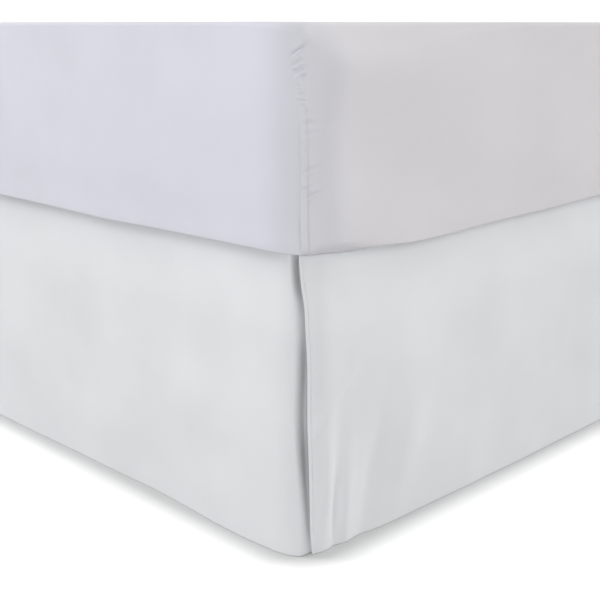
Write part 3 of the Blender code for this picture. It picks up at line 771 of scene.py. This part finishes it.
def mattress(finish):
    """The mattress in its fitted sheet: taut faces, a seam up each corner and soft edges."""
    half_x = HALF_WIDTH + MATTRESS_OVERHANG
    half_y = HALF_LENGTH + MATTRESS_OVERHANG
    corner_r = MATTRESS_CORNER_R
    arc = corner_r * math.pi / 2
    corner_at = half_x - corner_r + arc / 2
    half_way = corner_at + arc / 2 + half_y - corner_r
    columns = [(corner_at + past, pitch) for past, pitch in MATTRESS_COLUMNS]
    along = whole_way(graded([(0.0, MATTRESS_PITCH)] + columns, half_way), half_way)
    near = np.where(np.abs(along) > half_way, 2 * half_way - np.abs(along), np.abs(along))
    past = near - corner_at
    on_side = smooth(-arc / 2, arc / 2, past)
    edge = {column: read(EDGES, past, column) for column in EDGES[0]._fields[1:]}
    rings, up = [], []

    def ring(height, inwards, slope, distance):
        """One ring, moved along the slope of the face by all that the sheet does there."""
        swell = (read(SWELL, height, "ends") * (1 - on_side)
                 + read(SWELL, height, "sides") * on_side
                 + read(SWELL, height, "bulge") * edge["bulge"])
        lift = (swell + seam_out(past, height) + soft_waves(along, height)) * np.cos(slope)
        x, y = round_block(along, lift * np.cos(slope) - inwards, half_x, half_y, corner_r)
        rings.append(np.stack(np.broadcast_arrays(x, y, height + lift * np.sin(slope)), axis=-1))
        up.append(distance)

    lifted = edge["raised"] + RAISED_GAP[0] * smooth(0.0, RAISED_GAP[1], edge["raised"])
    lower, upper = ROUND_UP
    ring(MATTRESS_BOTTOM, LOWER_SEAT, math.pi / 2, UNDER_UP[0])
    ring(MATTRESS_BOTTOM + lifted, LOWER_REST, math.pi / 2, UNDER_UP[1])
    for turn in np.linspace(1.0, 0.0, LOWER_RINGS):
        drop = 2 * edge["full"] * math.sin(math.pi * turn) ** 2
        ring(MATTRESS_BOTTOM + lifted + edge["lower_r"] * (1 - turn) - drop,
             edge["draws_in"] * turn ** LOWER_CURVE, turn * math.pi / 2, lower * (1 - turn))
    low = MATTRESS_BOTTOM + lifted + edge["lower_r"]
    high = MATTRESS_TOP - edge["top_r"]
    for part in graded(SIDE_PARTS, 1.0)[1:-1]:
        ring(low + (high - low) * part, 0.0, 0.0, lower + part * SIDE_UP)
    for slope in np.linspace(0.0, math.pi / 2, UPPER_RINGS):
        ring(high + edge["top_r"] * math.sin(slope), edge["top_r"] * (1 - math.cos(slope)), slope,
             lower + SIDE_UP + upper * slope)
    return wrap("mattress_in_sheet", along, *capped(rings, up, TOP_RINGS), finish)


def box_spring(finish):
    """The covered box spring: a rounded block whose cover bulges a little."""
    half_x = HALF_WIDTH - SPRING_INSET
    half_y = HALF_LENGTH - SPRING_INSET
    half_way = half_x + half_y + SPRING_CORNER_R * (math.pi / 2 - 2)
    flat = half_x - SPRING_CORNER_R
    columns = ((0.0, SPRING_PITCH), (flat, SPRING_CORNER_PITCH),
               (flat + SPRING_CORNER_R * math.pi / 2, SPRING_PITCH))
    along = whole_way(graded(columns, half_way), half_way)
    low, high = RAIL_TOP + GAP, SPRING_TOP
    rounding = [(-SPRING_EDGE_R * (1 - math.cos(turn)), SPRING_EDGE_R * (1 - math.sin(turn)))
                for turn in np.linspace(0.0, math.pi / 2, SPRING_ROUND_STEPS)]
    profile = [(out, low + rise) for out, rise in reversed(rounding)]
    for part in np.linspace(0.0, 1.0, SPRING_ROWS)[1:-1]:
        height = low + SPRING_EDGE_R + (high - low - 2 * SPRING_EDGE_R) * part
        profile.append((SPRING_BULGE * math.sin(math.pi * part) ** 0.5 - SPRING_BULGE, height))
    profile.extend((out, high - fall) for out, fall in rounding)
    rings = []
    for out, height in profile:
        x, y = round_block(along, np.full_like(along, out), half_x, half_y, SPRING_CORNER_R)
        rings.append(np.stack([x, y, np.full_like(x, height)], axis=-1))
    up = [height for _, height in profile]
    return wrap("box_spring_cover", along, *capped(rings, up, CAP_RINGS), finish)


def lathe(name, place, profile, finish):
    """A closed turned form of radii and heights, standing at a place on the floor."""
    turn = np.linspace(0.0, 2 * math.pi, LEG_STEPS, endpoint=False)
    radius, height = (np.array(column)[:, None] for column in zip(*profile))
    rings = np.stack(np.broadcast_arrays(place[0] + radius * np.cos(turn),
                                         place[1] + radius * np.sin(turn), height), axis=-1)
    return wrap(name, turn * LEG_R, rings, height[:, 0], finish)


def leg(name, x, y, top, steel, plastic):
    """A leg's steel post and the plastic glide that it stands in."""
    end_r = LEG_R - LEG_CHAMFER
    profile = ((end_r, POST_FOOT), (LEG_R, POST_FOOT + LEG_CHAMFER), (LEG_R, top - LEG_CHAMFER),
               (end_r, top))
    post = lathe(f"{name}_post", (x, y), profile, steel)
    glide = lathe(f"{name}_glide", (x, y), GLIDE_PROFILE, plastic)
    for piece in (post, glide):
        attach(piece, "root")
    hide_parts(name)


# Materials

def node(tree, kind, inputs=(), **settings):
    """Add a node, set its properties, and give its inputs values or links."""
    made = tree.nodes.new(kind)
    for key, value in settings.items():
        setattr(made, key, value)
    for key, value in dict(inputs).items():
        if isinstance(value, bpy.types.NodeSocket):
            tree.links.new(value, made.inputs[key])
        else:
            made.inputs[key].default_value = value
    return made


def calc(tree, operation, *values):
    """The result of a math node on values or links."""
    return node(tree, "ShaderNodeMath", dict(enumerate(values)), operation=operation).outputs[0]


def mixed(tree, share, first, second, blend="MIX"):
    """A colour between two, by a share."""
    first, second = ((*end, 1.0) if isinstance(end, tuple) else end for end in (first, second))
    return node(tree, "ShaderNodeMix", {0: share, 6: first, 7: second}, data_type="RGBA",
                blend_type=blend).outputs[2]


def noise(tree, place, scale, detail):
    """Soft noise at a place, from 0 to 1."""
    return node(tree, "ShaderNodeTexNoise",
                {"Vector": place, "Scale": scale, "Detail": detail}).outputs["Fac"]


def ranged(tree, value, **ends):
    """A value carried from one range to another."""
    ends = {key.replace("_", " ").title(): end for key, end in ends.items()}
    return node(tree, "ShaderNodeMapRange", {"Value": value, **ends}).outputs["Result"]


def new_material(name, roughness=0.5, sheen=0.0):
    """A material, its nodes and its shader."""
    made = bpy.data.materials.new(name)
    made.use_nodes = True
    shader = made.node_tree.nodes["Principled BSDF"]
    shader.inputs["Roughness"].default_value = roughness
    shader.inputs["Sheen Weight"].default_value = sheen
    return made, made.node_tree, shader


def woven(name, weave):
    """Plain woven cloth in two close shades, with its threads, slubs and faint unevenness."""
    made, tree, shader = new_material(name, sheen=weave.sheen)
    uv = node(tree, "ShaderNodeUVMap", uv_map="cloth").outputs["UV"]
    parts = node(tree, "ShaderNodeSeparateXYZ", {0: uv}).outputs
    warp, weft = (calc(tree, "COSINE", calc(tree, "MULTIPLY", parts[way], math.pi / weave.thread))
                  for way in "XY")
    threads = calc(tree, "MULTIPLY", warp, weft)
    cloud = ranged(tree, noise(tree, uv, CLOUD_SCALE, 3.0),
                   from_min=CLOUD_RANGE[0], from_max=CLOUD_RANGE[1])
    fibre = noise(tree, uv, FIBRE_SCALE, 2.0)
    drawn = node(tree, "ShaderNodeVectorMath", {0: uv, 1: SLUB_SCALE}, operation="MULTIPLY")
    slubs = noise(tree, drawn.outputs[0], 1.0, 2.0)
    shade = calc(tree, "ADD", calc(tree, "MULTIPLY", cloud, CLOUD_SHARE),
                 calc(tree, "MULTIPLY", fibre, FIBRE_SHARE))
    base = mixed(tree, shade, weave.light, weave.dark)
    # Painted light: the sheet's colour is cooled towards both ends of the bed, standing in for the
    # cooler light that falls on its foot face
    if weave.cool:
        place = node(tree, "ShaderNodeTexCoord").outputs["Object"]
        lengthways = node(tree, "ShaderNodeSeparateXYZ", {0: place}).outputs["Y"]
        ends = ranged(tree, calc(tree, "ABSOLUTE", lengthways), from_min=HALF_LENGTH - PAINTED_COOL_REACH,
                      from_max=HALF_LENGTH + MATTRESS_OVERHANG)
        ends = calc(tree, "MULTIPLY_ADD", calc(tree, "POWER", ends, PAINTED_COOL_CURVE),
                    1.0 - PAINTED_COOL_LEAST, PAINTED_COOL_LEAST)
        base = mixed(tree, 1.0, base, mixed(tree, ends, WHITE[:3], weave.cool), "MULTIPLY")
    tree.links.new(base, shader.inputs["Base Color"])
    rough = ranged(tree, fibre, to_min=CLOTH_ROUGHNESS[0], to_max=CLOTH_ROUGHNESS[1])
    tree.links.new(rough, shader.inputs["Roughness"])
    surface = calc(tree, "ADD", calc(tree, "MULTIPLY", threads, 0.5), slubs)
    relief = node(tree, "ShaderNodeBump", {"Height": surface, "Strength": 0.6,
                                           "Distance": weave.relief})
    tree.links.new(relief.outputs["Normal"], shader.inputs["Normal"])
    return made


def painted(name, paint):
    """Dark powder-coated steel or moulded plastic with a fine orange-peel surface."""
    made, tree, shader = new_material(name)
    place = node(tree, "ShaderNodeTexCoord").outputs["Object"]
    grain = noise(tree, place, 900.0, 2.0)
    cloud = noise(tree, place, 14.0, 4.0)
    tree.links.new(mixed(tree, cloud, paint.dark, paint.light), shader.inputs["Base Color"])
    rough = ranged(tree, cloud, to_min=paint.roughness, to_max=paint.roughness + 0.2)
    tree.links.new(rough, shader.inputs["Roughness"])
    peel = node(tree, "ShaderNodeBump", {"Height": grain, "Strength": 0.3, "Distance": 0.0002})
    tree.links.new(peel.outputs["Normal"], shader.inputs["Normal"])
    return made


def thread_finish(name):
    """Twisted sewing thread."""
    made, tree, shader = new_material(name, 0.7, 0.1)
    place = node(tree, "ShaderNodeTexCoord").outputs["Object"]
    twist = noise(tree, place, 2500.0, 1.0)
    tree.links.new(mixed(tree, twist, *THREAD_SHADES), shader.inputs["Base Color"])
    return made


# Stage

def camera():
    """The camera, level with the mattress's top."""
    data = bpy.data.cameras.new("camera")
    data.lens = CAMERA_LENS
    turned = (math.radians(90 - CAMERA_DOWN), 0.0, math.radians(CAMERA_TURN))
    bpy.context.scene.camera = placed("camera", data, CAMERA_PLACE, turned)


def floor():
    """A plain pale floor."""
    made, _, shader = new_material("floor", 0.95)
    shader.inputs["Base Color"].default_value = FLOOR_COLOUR
    shader.inputs["Specular IOR Level"].default_value = 0.0
    half = FLOOR_SIZE / 2
    corners = [(x * half, y * half, -FLOOR_GAP) for x, y in ((-1, -1), (1, -1), (1, 1), (-1, 1))]
    piece = mesh_object("floor", np.array(corners), [(0, 1, 2, 3)], made)
    return piece


def area_light(name, place, aims_at, size, power):
    """A round soft light."""
    data = bpy.data.lights.new(name, "AREA")
    data.shape = "DISK"
    data.size = size
    data.energy = power
    aim = Vector(aims_at) - Vector(place)
    placed(name, data, place, aim.to_track_quat("-Z", "Y").to_euler())


def lighting(ground):
    """A white room that is brighter overhead, the soft lights and light from above on the floor."""
    world = bpy.data.worlds.new("studio")
    bpy.context.scene.world = world
    world.use_nodes = True
    tree = world.node_tree
    towards = node(tree, "ShaderNodeTexCoord").outputs["Generated"]
    up = node(tree, "ShaderNodeSeparateXYZ", {0: towards}).outputs["Z"]
    glow = ranged(tree, up, to_min=ROOM_LEVEL, to_max=ROOM_OVERHEAD)
    room = node(tree, "ShaderNodeBackground", {"Color": WHITE, "Strength": glow})
    white = node(tree, "ShaderNodeBackground", {"Color": WHITE, "Strength": BACKDROP})
    seen = node(tree, "ShaderNodeLightPath").outputs["Is Camera Ray"]
    both = node(tree, "ShaderNodeMixShader", {0: seen, 1: room.outputs[0], 2: white.outputs[0]})
    tree.links.new(both.outputs[0], tree.nodes["World Output"].inputs["Surface"])

    for light in SOFT_LIGHTS:
        area_light(*light)
    data = bpy.data.lights.new("floor_light", "SUN")
    data.energy = FLOOR_LIGHT
    data.angle = math.radians(FLOOR_LIGHT_SPREAD)
    data.cycles.max_bounces = 0
    aim = Vector(FLOOR_LIGHT_FROM)
    down = placed("floor_light", data, turned=aim.to_track_quat("Z", "Y").to_euler())
    on_floor = bpy.data.collections.new("lit_floor")
    on_floor.objects.link(ground)
    down.light_linking.receiver_collection = on_floor
    bpy.context.scene.view_settings.view_transform = "Standard"


def main():
    """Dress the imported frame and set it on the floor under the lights."""
    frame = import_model()
    camera()

    skirt = woven("skirt_cloth", SKIRT_WEAVE)
    sheet = woven("sheet_cloth", SHEET_WEAVE)
    ticking = woven("ticking", TICKING_WEAVE)
    thread = thread_finish("thread")
    steel = painted("frame_steel", STEEL_PAINT)
    plastic = painted("glide", GLIDE_PAINT)

    foot = foot_panel(skirt)
    right = side_panel("side_panel_right_cloth", 1.0, skirt)
    left = side_panel("side_panel_left_cloth", -1.0, skirt)
    right_stitches = stitching("stitching_right", 1.0, thread)
    left_stitches = stitching("stitching_left", -1.0, thread)
    top = deck(skirt)
    bed = mattress(sheet)
    spring = box_spring(ticking)

    for piece, slot in ((foot, "skirt_cloth"), (right, "skirt_cloth"), (left, "skirt_cloth"),
                        (right_stitches, "skirt_cloth"), (left_stitches, "skirt_cloth"),
                        (top, "skirt_cloth"), (bed, "sheet_cloth"), (spring, "ticking")):
        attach(piece, "root")
    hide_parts("foot_panel")
    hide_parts("side_panel_right")
    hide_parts("side_panel_left")
    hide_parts("deck")
    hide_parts("mattress")
    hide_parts("box_spring")

    rail_leg_x = HALF_WIDTH - RAIL_INSET - (RAIL_LEG + RAIL_WALL) / 2
    for row, y in LEG_ROWS:
        for end, x, top in (("right", rail_leg_x, RAIL_WALL), ("left", -rail_leg_x, RAIL_WALL),
                            ("centre", 0.0, CROSS_HEIGHT)):
            leg(f"leg_{row}_{end}", x, y, RAIL_TOP - top - GAP, steel, plastic)
    for name, thing in frame["nodes"].items():
        if name.startswith(("rail", "cross_rail")):
            for slot in thing.material_slots:
                slot.material = steel

    lighting(floor())


main()
